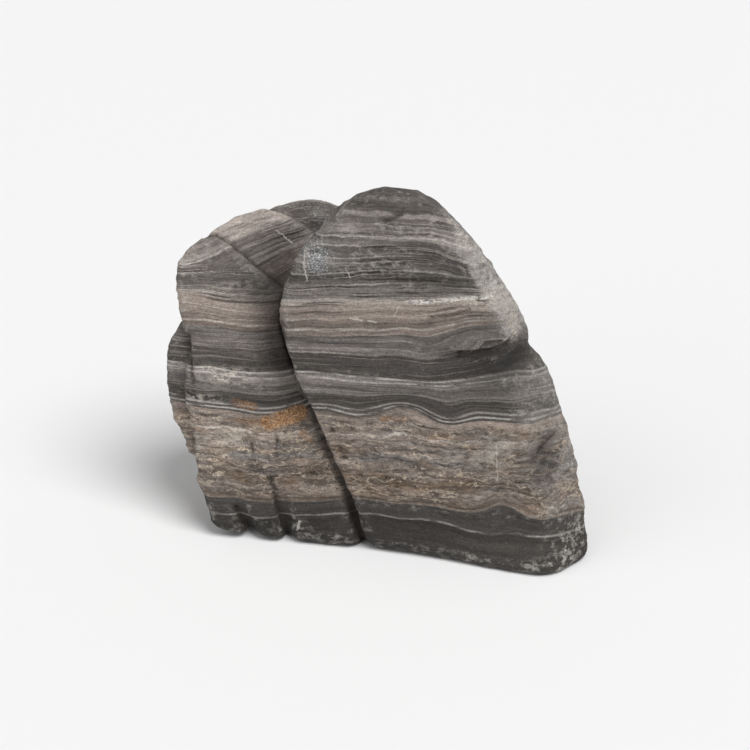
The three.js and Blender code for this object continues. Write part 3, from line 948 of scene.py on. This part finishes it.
def stained(tree, place, patches, grit, colour):
    """Sandy orange stains, pale patches, whitish crumbs and a bluish speckle."""
    ochre = times(tree, attribute(tree, "ochre"), span(tree, patches, 0.3, 0.6, 0.3, 1.3))
    sandy = mixed(tree, span(tree, grit, 0.42, 0.60), tone("rust"), tone("sand"))
    colour = mixed(tree, span(tree, ochre, 0.15, 0.8, 0.0, 0.85), colour, sandy)
    pale = times(tree, attribute(tree, "pale"), span(tree, patches, 0.44, 0.56))
    colour = mixed(tree, calculate(tree, "MINIMUM", pale, 0.75), colour, tone("cream"))
    crumbs = cloud(tree, place, (2.6, 2.6, 1.1), 4.0, 0.6)
    crumbs = times(tree, attribute(tree, "crumbs"), span(tree, crumbs, 0.42, 0.5, 0.15, 1.0))
    colour = mixed(tree, span(tree, crumbs, 0.25, 0.5, 0.0, 0.95), colour, tone("chalk"))
    blue = times(tree, attribute(tree, "blue"), span(tree, patches, 0.35, 0.5, 0.2, 1.0))
    bluish = mixed(tree, span(tree, grit, 0.52, 0.6), tone("steel"), tone("chalk"))
    return mixed(tree, times(tree, blue, 0.75), colour, bluish)


def scuffed(tree, streaks, colour):
    """Whitish scuffs where the stone was knocked, and stray flecks all over."""
    marks = times(tree, attribute(tree, "scuff"), span(tree, streaks, 0.50, 0.66))
    colour = mixed(tree, calculate(tree, "MINIMUM", marks, 0.6), colour, tone("scuff"))
    stray = times(tree, span(tree, streaks, 0.66, 0.72), 0.5)
    return mixed(tree, stray, colour, tone("fleck"))


def worn_surface(tree, place, colour):
    """All that lies over the beds' colours, with dirt and painted shade in the cleft, painted light and
    shade spots, and fine grain.
    """
    patches = cloud(tree, place, (5, 5, 3), 5.0, 0.7)
    grit = cloud(tree, place, (0.8, 0.8, 0.7), 3.0, 0.7)
    streaks = cloud(tree, place, (4.5, 4.5, 3.2), 6.0, 0.72)
    colour = weathered(tree, place, streaks, colour)
    colour = stained(tree, place, patches, grit, colour)
    colour = scuffed(tree, streaks, colour)
    # Dirt and painted shade in the cleft, and painted shadow beside it, in the dark seam tone
    dirt_and_shade = times(tree, attribute(tree, "cleft_dirt_and_shade"), span(tree, patches, 0.3, 0.7, 1.0, 0.6))
    colour = mixed(tree, calculate(tree, "MINIMUM", dirt_and_shade, 0.85), colour, tone("seam_and_shade"))
    mottles = cloud(tree, place, (3.2, 3.2, 1.1), 3.0, 0.6)
    # The tones carry painted light and shade as well as uneven tone
    grain = times(tree, span(tree, grit, 0.28, 0.72, 0.6, 1.4), attribute(tree, "tone_and_shade"))
    return shaded(tree, colour, times(tree, grain, span(tree, mottles, 0.32, 0.68, 0.8, 1.2)))


def stone_colour(tree, place, bed, rough):
    """Beds, then laminae, seams and lines, then what lies over them."""
    colour = bed_colour(tree, bed)
    laminae = layers(tree, place, bed, 70, 2.2, 0.0, 5.0, 0.65)
    contrast = zones(tree, bed, CONTRASTS)
    shade = calculate(tree, "MULTIPLY_ADD", span(tree, laminae, 0.3, 0.7, -1.0, 1.0), contrast, 1.0)
    colour = shaded(tree, colour, shade)
    colour = churned(tree, place, bed, rough, colour)
    colour = mixed(tree, fine_seams(tree, place, bed), colour, tone("seam_and_shade"))
    colour = mixed(tree, fine_lines(tree, place, bed), colour, tone("lamina"))
    seams = single_lines(tree, place, bed, DARK_SEAMS, 0.48)
    colour = mixed(tree, seams, colour, tone("seam_and_shade"))
    lines = single_lines(tree, place, bed, PALE_LINES, 0.44)
    colour = mixed(tree, lines, colour, tone("chalk"))
    colour = worn_surface(tree, place, colour)
    # Cracks and dark pits, and painted shadow lines in the creases and under the lip
    colour = mixed(tree, times(tree, attribute(tree, "crack_and_shadow"), 0.8), colour, tone("seam_and_shade"))
    marks = times(tree, strokes(tree, place, SCRATCHES), attribute(tree, "marked"))
    return mixed(tree, times(tree, marks, 0.55), colour, tone("chalk"))


def stone_bump(tree, place, bed, rough, normal_socket):
    """Thin sheets, grain and small pits, which are deeper in the rough beds."""
    sheets = layers(tree, place, bed, 30, 1.3, 2.0, 5.0, 0.7)
    grain = cloud(tree, place, (0.9, 0.9, 0.7), 4.0, 0.7)
    pitted = cloud(tree, place, (3, 3, 2), 4.0, 0.65)
    height = calculate(tree, "ADD", sheets, times(tree, grain, 0.35))
    height = calculate(tree, "ADD", height, times(tree, pitted, span(tree, rough, 0, 1, 0.4, 1.2)))
    bump = tree.nodes.new("ShaderNodeBump")
    bump.inputs["Strength"].default_value = BUMP_STRENGTH
    bump.inputs["Distance"].default_value = BUMP_DEPTH * MM
    put(tree, bump.inputs["Height"], height)
    tree.links.new(bump.outputs[0], normal_socket)


def stone_material():
    """Dull banded stone, driven by the height in the beds."""
    material = bpy.data.materials.new("banded_stone")
    material.use_nodes = True
    tree = material.node_tree
    shader = tree.nodes["Principled BSDF"]
    place = attribute(tree, "place", "Vector")
    rough = zones(tree, attribute(tree, "bed"), ROUGH_BEDS)
    bed = wavy_bed(tree, place)
    put(tree, shader.inputs["Base Color"], stone_colour(tree, place, bed, rough))
    gloss = cloud(tree, place, (6, 6, 2), 3.0)
    put(tree, shader.inputs["Roughness"], span(tree, gloss, 0.3, 0.7, 0.72, 0.92))
    shader.inputs["Specular IOR Level"].default_value = 0.3
    stone_bump(tree, place, bed, rough, shader.inputs["Normal"])
    return material


# Studio

def make_camera():
    angle = math.radians(CAMERA_HEIGHT_ANGLE)
    aim = Vector(CAMERA_AIM)
    eye = aim + Vector((0, -math.cos(angle), math.sin(angle))) * CAMERA_DISTANCE
    data = bpy.data.cameras.new("camera")
    data.sensor_fit = "HORIZONTAL"
    data.angle = 2 * HALF_VIEW
    camera = bpy.data.objects.new("camera", data)
    camera.location = eye * MM
    camera.rotation_euler = (math.pi / 2 - angle, 0, 0)
    bpy.context.collection.objects.link(camera)
    bpy.context.scene.camera = camera


def soft_light(name, toward_light, strength, spread):
    """A wide even light from one direction, with its spread in degrees."""
    data = bpy.data.lights.new(name, "SUN")
    data.energy = strength
    data.angle = math.radians(spread)
    light = bpy.data.objects.new(name, data)
    light.rotation_euler = Vector(toward_light).to_track_quat("Z", "Y").to_euler()
    bpy.context.collection.objects.link(light)


def make_floor():
    """A pale floor, which belongs to the stage."""
    low, high = -FLOOR_REACH, FLOOR_REACH
    corners = [(low, low, 0), (high, low, 0), (high, high, 0), (low, high, 0)]
    mesh = bpy.data.meshes.new("floor")
    mesh.from_pydata(corners, [], [(0, 1, 2, 3)])
    floor = bpy.data.objects.new("floor", mesh)
    bpy.context.collection.objects.link(floor)
    paper = bpy.data.materials.new("pale_floor")
    paper.use_nodes = True
    inputs = paper.node_tree.nodes["Principled BSDF"].inputs
    inputs["Base Color"].default_value = FLOOR_TONE
    inputs["Roughness"].default_value = 0.9
    mesh.materials.append(paper)


def make_studio():
    soft_light("key_light", *KEY_LIGHT)
    soft_light("fill_light", *FILL_LIGHT)
    world = bpy.data.worlds.new("studio")
    world.use_nodes = True
    inputs = world.node_tree.nodes["Background"].inputs
    inputs["Color"].default_value = (1, 1, 1, 1)
    inputs["Strength"].default_value = WORLD_STRENGTH
    bpy.context.scene.world = world
    bpy.context.scene.view_settings.view_transform = "Standard"
    make_floor()


def main():
    make_camera()
    make_studio()
    stone = make_stone()
    stone.data.materials.append(stone_material())
    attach(stone, "root")
    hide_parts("stone")


main()
